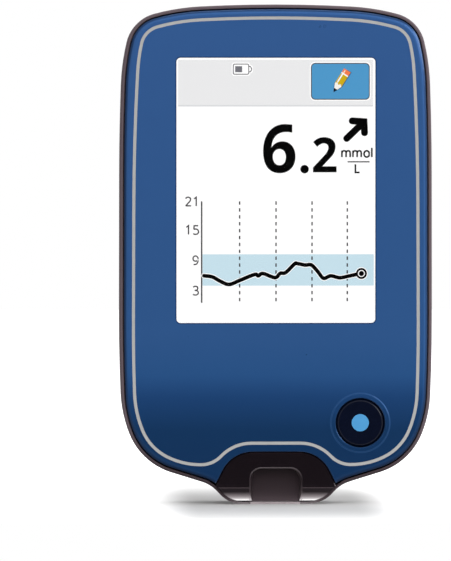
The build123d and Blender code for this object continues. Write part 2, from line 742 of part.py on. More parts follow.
# Home button: a cap with a flange behind the plate and a stem down to the switch
BUTTON_MIDDLE = (BUTTON_X, BUTTON_Z)
FLANGE_FRONT = 6.0
FLANGE_BACK = 5.3
STEM_BACK = 4.4
CAP_BEVEL = 0.3
CAP_EDGE = 0.1
DOT_DEPTH = 0.3
with BuildPart() as home_button:
    disc(FLANGE_BACK, FLANGE_FRONT, BUTTON_MIDDLE, 5.3)
    disc(FLANGE_FRONT, BUTTON_FRONT, BUTTON_MIDDLE, BUTTON_RADIUS)
    chamfer(home_button.faces().sort_by(Axis.Y)[0].edges(), CAP_BEVEL)
    chamfer(home_button.faces().sort_by(Axis.Y)[0].edges(), CAP_EDGE)
    disc(STEM_BACK, FLANGE_BACK, BUTTON_MIDDLE, 1.5)
    disc(BUTTON_FRONT - DOT_DEPTH, BUTTON_FRONT, BUTTON_MIDDLE, DOT_RADIUS, mode=Mode.SUBTRACT)
home_button.part.label = "home_button"
export_step(home_button.part, "parts/home_button.step")

with BuildPart() as button_dot:
    disc(BUTTON_FRONT - DOT_DEPTH, BUTTON_FRONT + 0.02, BUTTON_MIDDLE, DOT_RADIUS)
button_dot.part.label = "button_dot"
export_step(button_dot.part, "parts/button_dot.step")

# Switch under the button: its plunger goes down with the button
SWITCH_FRONT = 3.9
PLUNGER_BACK = 2.95
with BuildPart() as switch_body:
    slab(BOARD_FRONT, SWITCH_FRONT, BUTTON_MIDDLE, 6, 6)
    disc(PLUNGER_BACK - BUTTON_TRAVEL - 0.05, SWITCH_FRONT, BUTTON_MIDDLE, 1.15, mode=Mode.SUBTRACT)
switch_body.part.label = "switch_body"
export_step(switch_body.part, "parts/switch_body.step")

with BuildPart() as switch_plunger:
    disc(PLUNGER_BACK, STEM_BACK - 0.02, BUTTON_MIDDLE, 0.95)
switch_plunger.part.label = "switch_plunger"
export_step(switch_plunger.part, "parts/switch_plunger.step")
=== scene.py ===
# %% [markdown]
# # A blood glucose meter, dressed for its portrait
# The meter is a flat handheld box: a lacquered blue front with a silver line round it, a dark
# shell behind, a colour display, one button and a gloss black strip port at its foot.
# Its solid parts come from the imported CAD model, already in place and in metres, so this
# lesson never moves them. It gives each part its finish, adds what only paint and ink can
# give, such as the picture on the display, and then lights and frames it.

# %% Load the solid parts
import math

import bmesh
import bpy
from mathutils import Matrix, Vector


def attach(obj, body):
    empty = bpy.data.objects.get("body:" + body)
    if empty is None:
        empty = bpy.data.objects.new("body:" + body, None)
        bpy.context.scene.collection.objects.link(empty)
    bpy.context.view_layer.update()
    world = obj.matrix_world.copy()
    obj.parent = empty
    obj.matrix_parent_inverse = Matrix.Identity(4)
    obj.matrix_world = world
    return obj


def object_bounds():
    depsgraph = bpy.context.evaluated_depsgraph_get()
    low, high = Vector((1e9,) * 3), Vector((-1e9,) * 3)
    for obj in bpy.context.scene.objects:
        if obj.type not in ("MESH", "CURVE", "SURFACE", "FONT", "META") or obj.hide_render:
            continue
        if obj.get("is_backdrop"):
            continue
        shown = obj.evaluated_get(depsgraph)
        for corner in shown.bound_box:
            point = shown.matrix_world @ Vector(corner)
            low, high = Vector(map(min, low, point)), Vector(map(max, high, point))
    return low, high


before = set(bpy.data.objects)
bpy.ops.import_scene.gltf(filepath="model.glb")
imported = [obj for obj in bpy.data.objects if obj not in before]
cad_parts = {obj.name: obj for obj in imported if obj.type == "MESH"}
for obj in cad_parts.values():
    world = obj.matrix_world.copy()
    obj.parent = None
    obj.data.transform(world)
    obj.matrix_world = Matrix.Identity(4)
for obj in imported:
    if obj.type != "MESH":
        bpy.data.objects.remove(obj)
cad_low, cad_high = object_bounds()
print("parts:", len(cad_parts), "size in metres:", [round(v, 4) for v in cad_high - cad_low])

# %% [markdown]
# ## Millimetres
# A meter this small is drawn in millimetres, while Blender works in metres. One name for the
# size of a millimetre keeps every number below readable. Depth is counted forwards from the
# middle of the meter, because the display, the glass and the face are layers stacked that way.

# %% Units
MM = 0.001


def spot(x, depth, z):
    """A point given in millimetres: across, forwards and up."""
    return Vector((x, -depth, z)) * MM


print("one millimetre forwards is", round(spot(0, 1, 0).y, 4), "m along Y")

# %% [markdown]
# ## The camera
# A product portrait is taken from well back with a long lens, so that the sides of the box
# stay parallel. The camera stands a little to the left and a little above, which lets the
# left flank and the top edge show as thin dark lines. It could track an empty object, but two
# angles and a distance say the same without one. It aims beside the meter, to leave white
# paper on the left.

# %% Camera
METER_FRONT = 8.0
AIM = (-9.62, METER_FRONT, 42.86)
CAMERA_DISTANCE = 1200.0
CAMERA_TURN = math.radians(-1.6)
CAMERA_RISE = math.radians(1.5)
LENS = 404.4

camera_data = bpy.data.cameras.new("portrait")
camera_data.sensor_width = 36.0
camera_data.lens = LENS
camera = bpy.data.objects.new("portrait", camera_data)
away = Vector((
    math.sin(CAMERA_TURN) * math.cos(CAMERA_RISE),
    -math.cos(CAMERA_TURN) * math.cos(CAMERA_RISE),
    math.sin(CAMERA_RISE),
))
camera.location = spot(*AIM) + away * CAMERA_DISTANCE * MM
camera.rotation_euler = (-away).to_track_quat("-Z", "Y").to_euler()
bpy.context.scene.collection.objects.link(camera)
bpy.context.scene.camera = camera
print("camera at", [round(v, 3) for v in camera.location])

# %% [markdown]
# ## Node helpers
# Every finish here is made from shader nodes, so it has no picture files and no seams. The
# nodes read the part's own coordinates, which are metres in this model: a noise scale of 1000
# makes spots about a millimetre wide. Nodes can be laid out by hand in the editor, but a
# finish has twenty of them, and a few small helpers keep each one short and easy to change.

# %% Helpers for finishes
def finish(name):
    """A new material: its node tree and its main shader."""
    material = bpy.data.materials.new(name)
    material.use_nodes = True
    return material, material.node_tree, material.node_tree.nodes["Principled BSDF"]


def add(tree, kind, inputs=None, **settings):
    """A shader node, with values for its sockets and its own settings."""
    made = tree.nodes.new("ShaderNode" + kind)
    for key, value in settings.items():
        setattr(made, key, value)
    for key, value in (inputs or {}).items():
        if isinstance(value, bpy.types.NodeSocket):
            tree.links.new(value, made.inputs[key])
        else:
            made.inputs[key].default_value = value
    return made


def linear(red, green, blue):
    """A colour as seen on a screen, 0 to 255, turned into the amounts of light Blender mixes."""
    def channel(value):
        value /= 255
        return value / 12.92 if value <= 0.04045 else ((value + 0.055) / 1.055) ** 2.4

    return channel(red), channel(green), channel(blue), 1.0


print("mid grey is", round(linear(128, 128, 128)[0], 3), "of full light")

# %% [markdown]
# A finish that changes from place to place needs arithmetic: on numbers, such as a height, and
# on places, such as the distance from an edge. Most steps end in a stretch, which turns the
# range that was measured into the range that a socket wants, or in a ramp of colours.

# %% Helpers for arithmetic
def reckon(tree, operation, *values):
    """One step of arithmetic on numbers."""
    return add(tree, "Math", dict(enumerate(values)), operation=operation).outputs[0]


def survey(tree, operation, *values):
    """One step of arithmetic on places. A length or a dot product comes out as a number."""
    step = add(tree, "VectorMath", dict(enumerate(values)), operation=operation)
    return step.outputs["Value" if operation in ("LENGTH", "DOT_PRODUCT") else "Vector"]


def stretch(tree, amount, start, end, low=0.0, high=1.0, **settings):
    """Runs from low to high while the amount runs from start to end, and is level past both."""
    made = add(tree, "MapRange", {"Value": amount, "From Min": start, "From Max": end,
                                  "To Min": low, "To Max": high}, **settings)
    return made.outputs["Result"]


def ramp(tree, amount, stops):
    """A run of colours. Each stop is a place, 0 to 1, and its colour."""
    made = add(tree, "ValToRGB", {"Fac": amount})
    elements = made.color_ramp.elements
    elements.remove(elements[1])
    elements[0].position, elements[0].color = stops[0]
    for place, colour in stops[1:]:
        elements.new(place).color = colour
    return made.outputs["Color"]


def mix(tree, amount, first, second):
    """A colour between two others."""
    made = add(tree, "Mix", {"Factor": amount, 6: first, 7: second}, data_type="RGBA")
    return made.outputs[2]


print("arithmetic:", ", ".join(f.__name__ for f in (reckon, survey, stretch, ramp, mix)))

# %% [markdown]
# ## Unevenness
# Real plastic and metal are never quite even. Three things give that away: the colour drifts
# a little, the gloss drifts a little, and the skin has a fine relief from the mould or the
# polish. Each is one noise, given its size in millimetres. A scanned texture would hold all
# three at once, but its repeats show on a part as plain as this one.

# %% Helpers for unevenness
def speckle(tree, size, detail=2.0):
    """A noise with spots of about that many millimetres."""
    where = add(tree, "TexCoord").outputs["Object"]
    noise = add(tree, "TexNoise", {"Vector": where, "Scale": 1 / (size * MM), "Detail": detail})
    return noise.outputs["Fac"]


def between(tree, amount, low, high):
    """The amount, 0 to 1, stretched to run from low to high."""
    return stretch(tree, amount, 0.0, 1.0, low, high)


def relief(tree, shader, height, depth):
    """Presses a height, 0 to 1, into the surface, as deep as the given millimetres."""
    bump = add(tree, "Bump", {"Height": height, "Distance": depth * MM, "Strength": 1.0})
    tree.links.new(bump.outputs["Normal"], shader.inputs["Normal"])


def uneven(name, colour, drift, rough, grain, depth, **constants):
    """A finish whose colour drifts to a second one, whose gloss varies and whose skin has a
    grain. The drift is twelve grains wide, and the change in gloss five."""
    material, tree, shader = finish(name)
    base = mix(tree, speckle(tree, grain * 12, 3), linear(*colour), linear(*drift))
    tree.links.new(base, shader.inputs["Base Color"])
    tree.links.new(between(tree, speckle(tree, grain * 5), *rough), shader.inputs["Roughness"])
    relief(tree, shader, speckle(tree, grain, 3), depth)
    for socket, value in constants.items():
        shader.inputs[socket.replace("_", " ")].default_value = value
    return material


print("spots of 0.2 mm need a noise scale of", round(1 / (0.2 * MM)))

# %% [markdown]
# ## Places on a part
# Paint that stops at a line, such as the dark edge of the window, needs to know how far each
# place is from a shape. A mask painted by hand would do, or a texture. Measuring in the nodes
# is exact at any size: it takes the distance past each side of the shape, throws away what is
# negative, which is the inside, and measures what is left.

# %% Helpers for places
CLOSE_ENOUGH = 0.001


def beyond(tree, past):
    """How far outside a shape a place is, from how far it is past each side."""
    return survey(tree, "LENGTH", survey(tree, "MAXIMUM", past, (0, 0, 0)))


def folded(tree, where, middle):
    """The place counted from a middle, the same on both sides of it."""
    return survey(tree, "ABSOLUTE", survey(tree, "SUBTRACT", where, middle))


def in_box(tree, where, low, high):
    """Is 1 inside the box between two corners and 0 outside it."""
    under = survey(tree, "SUBTRACT", low, where)
    over = survey(tree, "SUBTRACT", where, high)
    past = survey(tree, "MAXIMUM", under, over)
    return reckon(tree, "LESS_THAN", beyond(tree, past), CLOSE_ENOUGH * MM)


print("places:", ", ".join(f.__name__ for f in (beyond, folded, in_box)))

# %% [markdown]
# ## The blue face
# The front is a moulded cover sprayed in a blue with fine metal flakes, under a clear coat.
# A painted shade darkens the blue along the edge of the window, and painted highlights make
# it pale on the rings round the home button. So two masks come first: one follows the
# window's rounded outline, the other a circle round the button.

# %% Places on the face
WINDOW_MIDDLE = 60.0
WINDOW_HALF = (18.95, 25.25)
WINDOW_CORNER = 0.8
DARK_EDGE = (0.12, 0.25)
BUTTON_AXIS = (16.1, 0, 15.7)
SEEN_FROM_FRONT = (1, 0, 1)


def near_window(tree, where):
    """Is 1 at the edge of the display's window, and 0 from a quarter of a millimetre off."""
    core = spot(WINDOW_HALF[0] - WINDOW_CORNER, 0, WINDOW_HALF[1] - WINDOW_CORNER)
    past = survey(tree, "SUBTRACT", folded(tree, where, spot(0, 0, WINDOW_MIDDLE)), core)
    far = beyond(tree, survey(tree, "MULTIPLY", past, SEEN_FROM_FRONT))
    start, end = ((WINDOW_CORNER + edge) * MM for edge in DARK_EDGE)
    return stretch(tree, far, start, end, 1.0, 0.0)


def on_ring(tree, where, radius, reach):
    """Is 1 on a circle round the home button's axis and 0 from the reach on either side."""
    centred = survey(tree, "SUBTRACT", where, spot(*BUTTON_AXIS))
    far = survey(tree, "LENGTH", survey(tree, "MULTIPLY", centred, SEEN_FROM_FRONT))
    off = reckon(tree, "ABSOLUTE", reckon(tree, "SUBTRACT", far, radius * MM))
    return stretch(tree, off, reach * MM / 2, reach * MM, 1.0, 0.0)


print("window:", 2 * WINDOW_HALF[0], "by", 2 * WINDOW_HALF[1], "mm")

# %% [markdown]
# The blue runs from mid blue at the top to navy at the foot, so the colour is a ramp along the
# height. The rounded edge is painted darker too, as painted shade where the skin turns away
# from the front: the part's own normal tells where. The clear coat has the faint ripple that
# painters call orange peel, a millimetre across. The flakes are too fine to see one by one, so
# a share of metal and a blue tint in the gloss stand for them.

# %% Blue lacquer
METER_TALL = 95.4
FADE = (
    (0.04, (21, 52, 92)), (0.15, (23, 57, 98)), (0.215, (33, 71, 122)),
    (0.26, (46, 89, 144)), (0.34, (53, 94, 150)), (0.90, (57, 97, 155)),
)
CLOUD, CLOUD_SHARE = linear(30, 62, 108), 0.06
WINDOW_EDGE_SHADE = linear(15, 50, 98)
RING_HIGHLIGHT, RING_HIGHLIGHT_SHARE = linear(66, 120, 186), 0.28
HIGHLIGHT_RINGS = ((5.62, 0.2), (4.7, 0.22))
EDGE_SHADE, EDGE_SHADE_SHARE = linear(14, 38, 72), 0.72
EDGE_SHADE_TURN = (-0.98, -0.78)
coats = {}


def face_colour(tree):
    """The blue from its fade to its painted shade and highlights, as a socket."""
    where = add(tree, "TexCoord").outputs["Object"]
    height = add(tree, "SeparateXYZ", {"Vector": where}).outputs["Z"]
    fade = [(place, linear(*shade)) for place, shade in FADE]
    colour = ramp(tree, stretch(tree, height, 0.0, METER_TALL * MM), fade)
    cloudy = between(tree, speckle(tree, 6, 3), 0.0, CLOUD_SHARE)
    colour = mix(tree, cloudy, colour, CLOUD)
    # Painted shade: a dark line on the blue along the edge of the display window.
    colour = mix(tree, near_window(tree, where), colour, WINDOW_EDGE_SHADE)
    # Painted highlight: pale rings on the blue round the home button.
    ring_highlights = reckon(tree, "MAXIMUM", *(on_ring(tree, where, *ring) for ring in HIGHLIGHT_RINGS))
    colour = mix(tree, reckon(tree, "MULTIPLY", ring_highlights, RING_HIGHLIGHT_SHARE), colour, RING_HIGHLIGHT)
    # Painted shade: the rounded edge darker where its normal turns away from the front.
    skin = add(tree, "TexCoord").outputs["Normal"]
    backwards = add(tree, "SeparateXYZ", {"Vector": skin}).outputs["Y"]
    return mix(tree, stretch(tree, backwards, *EDGE_SHADE_TURN, 0.0, EDGE_SHADE_SHARE), colour, EDGE_SHADE)


def face_lacquer():
    """Blue lacquer with fine flakes, under a thin clear coat."""
    material, tree, shader = finish("blue_lacquer")
    tree.links.new(face_colour(tree), shader.inputs["Base Color"])
    tree.links.new(between(tree, speckle(tree, 2.5), 0.26, 0.32), shader.inputs["Roughness"])
    relief(tree, shader, speckle(tree, 1.1, 1), 0.001)
    shader.inputs["Metallic"].default_value = 0.35
    shader.inputs["Specular IOR Level"].default_value = 0.2
    shader.inputs["Specular Tint"].default_value = (0.45, 0.75, 1, 1)
    shader.inputs["Coat Weight"].default_value = 0.16
    shader.inputs["Coat Roughness"].default_value = 0.08
    return material


coats["face"] = face_lacquer()
print("face finish:", coats["face"].name)

# %% [markdown]
# ## The silver line
# A hairline of silver paint lies in a groove round the face. The groove and the line are
# solids already, so the line only needs its finish. It is paint with fine metal flakes, not
# bare metal, so it stays pale from every side. A small noise picks out flakes.

# %% Silver paint
coats["trim"] = uneven(
    "silver_paint", (184, 184, 182), (172, 172, 171), (0.38, 0.5), 0.08, 0.002,
    Metallic=0.25, Specular_IOR_Level=0.5,
)
print("trim finish:", coats["trim"].name)

# %% [markdown]
# ## The dark shell
# The back cover is one moulding in a mauve charcoal. Its mould was spark eroded, which leaves
# a fine matt grain, so two noises are laid over one another: the grain itself, and a slow
# drift in gloss where hands have rubbed it. The foot is painted darker, as painted shade, and
# the lip under the recess is painted pale, as a painted highlight. Both could be parts of
# their own, but they are one skin, so one finish reads the height and a box instead.

# %% Moulded shell
FOOT_SHADE_LINE = (15, 6)
LIP_HIGHLIGHT_BOX = (spot(-4.75, 8.5, -1), spot(4.75, 4, 0.6))


def moulded_shell():
    """Matt mauve charcoal plastic, with painted foot shade and a painted lip highlight."""
    material, tree, shader = finish("moulded_shell")
    where = add(tree, "TexCoord").outputs["Object"]
    height = add(tree, "SeparateXYZ", {"Vector": where}).outputs["Z"]
    colour = mix(tree, speckle(tree, 3, 4), linear(97, 86, 91), linear(89, 78, 83))
    # Painted shade: the shell is darker towards the foot, below 15 mm.
    foot_shade = stretch(tree, height, FOOT_SHADE_LINE[0] * MM, FOOT_SHADE_LINE[1] * MM)
    colour = mix(tree, foot_shade, colour, linear(66, 56, 60))
    # Painted highlight: a pale band on the lip under the strip recess.
    colour = mix(tree, in_box(tree, where, *LIP_HIGHLIGHT_BOX), colour, linear(190, 178, 182))
    tree.links.new(colour, shader.inputs["Base Color"])
    rubbed = reckon(tree, "MULTIPLY", speckle(tree, 9, 2), speckle(tree, 0.4, 2))
    tree.links.new(between(tree, rubbed, 0.5, 0.36), shader.inputs["Roughness"])
    relief(tree, shader, speckle(tree, 0.22, 3), 0.006)
    shader.inputs["Specular IOR Level"].default_value = 0.03
    return material


coats["housing"] = moulded_shell()
print("shell finish:", coats["housing"].name)

# %% [markdown]
# ## The strip port
# The insert at the foot is gloss black, as polished as the mould allows. Almost all that is
# seen of it is what it mirrors, so the base is nearly black and the gloss is high and a touch
# plum, with a little haze from fingers and a painted highlight line on the crease where the
# face rolls under. The recess for the strip was spark eroded instead and is matt, and painted
# shade darkens it towards its top. Two materials would need the mesh cut along the recess, so
# one material asks whether a place is inside it.

# %% Gloss and matt black
RECESS = (spot(-5.1, 7.69, 0.16), spot(5.1, 0, 20))
RECESS_SHADE_FADE = (7, 1)
CREASE_HIGHLIGHT_AT, CREASE_HIGHLIGHT_REACH = 3.3, 0.06


def port_black():
    """Polished black with a painted crease highlight, and a matt recess with painted shade."""
    material, tree, shader = finish("gloss_black")
    where = add(tree, "TexCoord").outputs["Object"]
    height = add(tree, "SeparateXYZ", {"Vector": where}).outputs["Z"]
    recess = in_box(tree, where, *RECESS)
    # Painted shade: the matt recess is darker at its top and lighter towards the foot.
    recess_shade = stretch(tree, height, RECESS_SHADE_FADE[0] * MM, RECESS_SHADE_FADE[1] * MM)
    matt = mix(tree, recess_shade, linear(24, 16, 19), linear(34, 27, 30))
    polished = mix(tree, speckle(tree, 7, 3), linear(19, 14, 18), linear(23, 18, 21))
    # Painted highlight: a pale line along the crease where the face rolls under.
    crease_highlight = reckon(tree, "COMPARE", height, CREASE_HIGHLIGHT_AT * MM, CREASE_HIGHLIGHT_REACH * MM)
    polished = mix(tree, crease_highlight, polished, linear(66, 57, 60))
    tree.links.new(mix(tree, recess, polished, matt), shader.inputs["Base Color"])
    smear = between(tree, speckle(tree, 3), 0.05, 0.09)
    rough = add(tree, "Mix", {"Factor": recess, "A": smear, "B": 0.45}).outputs["Result"]
    tree.links.new(rough, shader.inputs["Roughness"])
    relief(tree, shader, speckle(tree, 0.6, 3), 0.0003)
    shader.inputs["Specular IOR Level"].default_value = 0.35
    shader.inputs["Specular Tint"].default_value = (1, 0.84, 0.89, 1)
    return material


coats["port_black"] = port_black()
print("port finish:", coats["port_black"].name)

# %% [markdown]
# ## The home button
# The cap is satin midnight blue rubberised plastic, and the dot in it a pale blue insert,
# moulded in a second shot. Both have the dry, fine grain of a part that is pressed all day.
# They are small and plain, so the general uneven finish is enough for them.

# %% Button cap and dot
coats["button_cap"] = uneven(
    "midnight_satin", (6, 11, 26), (9, 14, 32), (0.15, 0.2), 0.12, 0.0005,
    Specular_IOR_Level=0.3,
)
coats["button_dot"] = uneven(
    "pale_blue_insert", (76, 148, 198), (71, 141, 192), (0.35, 0.45), 0.12, 0.001,
    Specular_IOR_Level=0.2,
)
print("button finishes:", coats["button_cap"].name, coats["button_dot"].name)

# %% [markdown]
# ## Touch glass
# The panel over the display is clear glass with a hard coat. A transparent shader would be
# faster, but real refraction keeps the picture at its depth behind the glass. A faint smear of
# fingerprints makes its gloss uneven.

# %% Clear glass
def clear_glass():
    """Clear glass with a trace of smears."""
    material, tree, shader = finish("touch_glass_clear")
    tree.links.new(between(tree, speckle(tree, 7, 3), 0.0, 0.03), shader.inputs["Roughness"])
    relief(tree, shader, speckle(tree, 5, 2), 0.0004)
    shader.inputs["Base Color"].default_value = (1, 1, 1, 1)
    shader.inputs["Transmission Weight"].default_value = 1.0
    shader.inputs["IOR"].default_value = 1.5
    return material


coats["touch_glass"] = clear_glass()
print("glass finish:", coats["touch_glass"].name)

# %% [markdown]
# ## Inside parts
# Nothing inside shows from outside, but a model that is opened up should still read right.
# Each finish could be laid out by itself, like the lacquer, but a table is shorter. An entry
# holds its two colours, how rough it is, the size and depth of its grain, and how much of it
# is metal.

# %% Finishes for the inside
INSIDE = {
    "foam": ("black_foam", (28, 28, 30), (38, 38, 40), (0.85, 0.95), 0.25, 0.03, 0.0),
    "lcd": ("dark_display_glass", (18, 20, 24), (24, 26, 30), (0.06, 0.12), 0.8, 0.0004, 0.0),
    "chip_black": ("moulded_epoxy", (30, 30, 32), (42, 42, 44), (0.55, 0.7), 0.1, 0.003, 0.0),
    "diffuser": ("milky_diffuser", (232, 234, 236), (222, 226, 230), (0.35, 0.5), 0.5, 0.001, 0.0),
    "tin_plate": ("tinned_steel", (186, 188, 188), (160, 163, 164), (0.2, 0.36), 0.3, 0.001, 1.0),
    "polyimide": ("amber_film", (176, 104, 32), (150, 84, 22), (0.25, 0.4), 0.4, 0.001, 0.0),
    "connector": ("cream_nylon", (214, 206, 188), (200, 190, 170), (0.45, 0.6), 0.2, 0.002, 0.0),
    "carrier": ("grey_moulding", (92, 95, 100), (80, 83, 88), (0.45, 0.6), 0.2, 0.004, 0.0),
    "board": ("green_solder_mask", (18, 92, 58), (12, 72, 44), (0.25, 0.4), 0.35, 0.004, 0.0),
    "screw": ("zinc_plated_steel", (178, 182, 190), (150, 155, 164),
              (0.22, 0.4), 0.12, 0.001, 1.0),
    "ceramic": ("capacitor_ceramic", (176, 146, 112), (150, 120, 88),
                (0.5, 0.65), 0.08, 0.002, 0.0),
    "pouch": ("laminated_foil", (196, 198, 202), (172, 175, 180), (0.3, 0.48), 0.6, 0.01, 0.85),
    "lead_red": ("red_wire_jacket", (176, 26, 24), (150, 18, 18), (0.3, 0.45), 0.2, 0.002, 0.0),
    "ferrite": ("ferrite_sheet_grey", (52, 52, 56), (40, 40, 44), (0.5, 0.7), 0.15, 0.002, 0.3),
    "shell_steel": ("stamped_steel", (170, 172, 175), (146, 149, 153),
                    (0.22, 0.38), 0.2, 0.001, 1.0),
    "connector_black": ("black_nylon", (26, 26, 28), (36, 36, 38), (0.4, 0.55), 0.15, 0.002, 0.0),
    "contact": ("gold_contact", (226, 178, 88), (206, 156, 66), (0.15, 0.28), 0.1, 0.0006, 1.0),
}
for slot, (*look, metal) in INSIDE.items():
    coats[slot] = uneven(*look, Metallic=metal)
print("inside finishes:", len(INSIDE))

# %% [markdown]
# ## Dressing the solids
# Each solid arrives with a slot named after its finish. Putting a material in a slot changes
# nothing of the shape, so the CAD parts stay exactly where they are.

# %% Put the finishes on
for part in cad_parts.values():
    for holder in part.material_slots:
        holder.material = coats[holder.material.name]
print("dressed", len(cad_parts), "parts in", len(coats), "finishes")

# %% [markdown]
# ## The picture on the display
# A display glows, and its picture could be one image on a plane. Here it is made of thin films
# that give off light, stacked in front of the display's glass and behind the touch panel, so
# every edge stays sharp at any size. Each film is a real shape with an edge, cut from sheet a
# hundredth of a millimetre thick. Places on the picture are given in millimetres from its
# lower left corner.

# %% Display layout
TOUCH_BACK = 6.3
SHEET_FRONT = 6.12
PICTURE_LEFT = -19.1
PICTURE_FOOT = 34.56
FILM = 0.01
LAYER = 0.016
FIRST_GAP = 0.004


def film_depth(layer):
    """How far forwards the back of a film lies. Layer 0 is next to the display's glass."""
    return SHEET_FRONT + FIRST_GAP + layer * LAYER


def glow(name, colour, strength=1.0):
    """A film that gives off light, a touch weaker towards the edges of each patch of backlight."""
    material, tree, shader = finish(name)
    dimmer = tuple(v * 0.97 for v in colour)
    patchy = mix(tree, between(tree, speckle(tree, 9, 1), 0.0, 0.5), colour, dimmer)
    tree.links.new(patchy, shader.inputs["Emission Color"])
    shader.inputs["Emission Strength"].default_value = strength
    tree.links.new(between(tree, speckle(tree, 0.3), 0.5, 0.6), shader.inputs["Roughness"])
    shader.inputs["Base Color"].default_value = (0.0, 0.0, 0.0, 1)
    shader.inputs["Specular IOR Level"].default_value = 0.02
    return material


print("films available:", int((TOUCH_BACK - SHEET_FRONT) / LAYER))

# %% [markdown]
# Letters, arrows and chart lines are pen strokes: a line with a width and round or square
# ends. A curve object with a bevel would do, but it has no flat face. So the outline of the
# stroke is worked out, one side out and the other side back, with its corners mitred. Smooth
# strokes pass through a few points, like a bent spring.

# %% Helpers for strokes
ROUND_STEPS = 8
SHARPEST_MITRE = 0.4


def bend(points, steps=6):
    """A smooth line through a few points, as a list of many."""
    ends = [2 * Vector(points[0]) - Vector(points[1]), *map(Vector, points),
            2 * Vector(points[-1]) - Vector(points[-2])]
    line = []
    for a, b, c, d in zip(ends, ends[1:], ends[2:], ends[3:]):
        for i in range(steps):
            t = i / steps
            line.append(0.5 * (2 * b + (c - a) * t + (2 * a - 5 * b + 4 * c - d) * t * t
                               + (3 * b - a - 3 * c + d) * t ** 3))
    return line + [Vector(points[-1])]


def round_end(centre, start):
    """Half a circle round an end of a stroke, turning from one side to the other."""
    spoke = start - centre
    turns = [-math.pi * k / ROUND_STEPS for k in range(1, ROUND_STEPS)]
    return [centre + Vector((spoke.x * math.cos(a) - spoke.y * math.sin(a),
                             spoke.x * math.sin(a) + spoke.y * math.cos(a))) for a in turns]


def stroke(points, width, round_ends=True):
    """The outline of a pen stroke that follows the points: one side out, the other side back."""
    line = [Vector(p) for p in points]
    left, right = [], []
    for i, here in enumerate(line):
        into = (here - line[i - 1]).normalized() if i else (line[1] - here).normalized()
        out = (line[i + 1] - here).normalized() if i + 1 < len(line) else into
        middle = (into + out).normalized()
        reach = width / 2 / max(SHARPEST_MITRE, middle.dot(into))
        side = Vector((-middle.y, middle.x)) * reach
        left.append(here + side)
        right.append(here - side)
    if not round_ends:
        return left + right[::-1]
    return left + round_end(line[-1], left[-1]) + right[::-1] + round_end(line[0], right[0])


print("a short stroke has", len(stroke([(0, 0), (1, 0)], 0.3)), "points")

# %% [markdown]
# The other outlines are rings and panels. Every outline is then cut from the sheet in the same
# way: its points become a loop of edges, the loop is filled with triangles, and the flat shape
# is pulled forwards to the thickness of the film.

# %% Helpers for films
def circle(x, y, radius, steps=40):
    """A closed ring of points."""
    turns = [2 * math.pi * k / steps for k in range(steps)]
    return [(x + radius * math.cos(a), y + radius * math.sin(a)) for a in turns]


def panel(left, low, right, high, radius=0.0):
    """A rectangle, with rounded corners if a radius is given."""
    if not radius:
        return [(left, low), (right, low), (right, high), (left, high)]
    outline = []
    corners = ((right - radius, low + radius, -90), (right - radius, high - radius, 0),
               (left + radius, high - radius, 90), (left + radius, low + radius, 180))
    for x, y, start in corners:
        for k in range(ROUND_STEPS + 1):
            turn = math.radians(start + 90 * k / ROUND_STEPS)
            outline.append((x + radius * math.cos(turn), y + radius * math.sin(turn)))
    return outline


def cut_film(name, material, layer, outlines, body="case"):
    """A piece made of thin flat shapes on the display, each outline a shape of its own.
    An outline that is a pair holds a shape and the hole in it."""
    mesh = bpy.data.meshes.new(name)
    built = bmesh.new()
    back, front = film_depth(layer), film_depth(layer) + FILM
    for outline in outlines:
        loops = outline if isinstance(outline, tuple) else (outline,)
        edges = []
        for loop in loops:
            places = [spot(PICTURE_LEFT + p[0], front, PICTURE_FOOT + p[1]) for p in loop]
            ring = [built.verts.new(place) for place in places]
            edges += [built.edges.new((a, b)) for a, b in zip(ring, ring[1:] + ring[:1])]
        bmesh.ops.triangle_fill(built, edges=edges, use_beauty=True)
    bmesh.ops.recalc_face_normals(built, faces=built.faces)
    for face in built.faces:
        if face.normal.y > 0:
            face.normal_flip()
    flat = list(built.faces)
    pulled = bmesh.ops.extrude_face_region(built, geom=flat, use_keep_orig=True)
    moved = [v for v in pulled["geom"] if isinstance(v, bmesh.types.BMVert)]
    bmesh.ops.translate(built, verts=moved, vec=Vector((0, (front - back) * MM, 0)))
    bmesh.ops.recalc_face_normals(built, faces=built.faces)
    built.to_mesh(mesh)
    built.free()
    mesh.materials.append(material)
    piece = bpy.data.objects.new(name, mesh)
    bpy.context.scene.collection.objects.link(piece)
    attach(piece, body)
    print("cut", name, "with", len(mesh.polygons), "faces")
    return piece


# %% [markdown]
# ## Page, bar and button
# The picture is a white page with a grey status bar across the top. The bar holds a battery
# sign and a blue button with a pencil, for writing a note. The pale inks are a little stronger
# than white paper, because the touch glass keeps some of their light.

# %% Inks
page_white = glow("page_white", (1.0, 1.0, 1.0, 1), 1.12)
bar_grey = glow("bar_grey", linear(235, 235, 236), 1.08)
rule_grey = glow("rule_grey", linear(220, 221, 223), 1.06)
ink_black = glow("ink_black", (0.0, 0.0, 0.0, 1), 0.0)
ink_grey = glow("ink_grey", linear(74, 71, 74), 1.0)
band_blue = glow("band_blue", linear(199, 225, 236), 1.08)
note_blue = glow("note_blue", linear(80, 154, 204), 1.05)
sign_grey = glow("sign_grey", linear(108, 106, 110), 1.0)
charge_grey = glow("charge_grey", linear(120, 120, 127), 1.0)
print("inks:", page_white.name, "to", charge_grey.name)

# %% [markdown]
# The page is one plain sheet, a little larger than the window, so that no dark gap shows beside
# it from an angle. The bar lies on it, with a thin rule along its lower edge.

# %% Page and status bar
cut_film("picture_page", page_white, 0, [panel(-0.4, -0.25, 38.6, 51.2)])
cut_film("status_bar", bar_grey, 1, [panel(0.5, 41.6, 37.66, 50.3)])
cut_film("status_rule", rule_grey, 2, [panel(0.5, 41.42, 37.66, 41.7)])

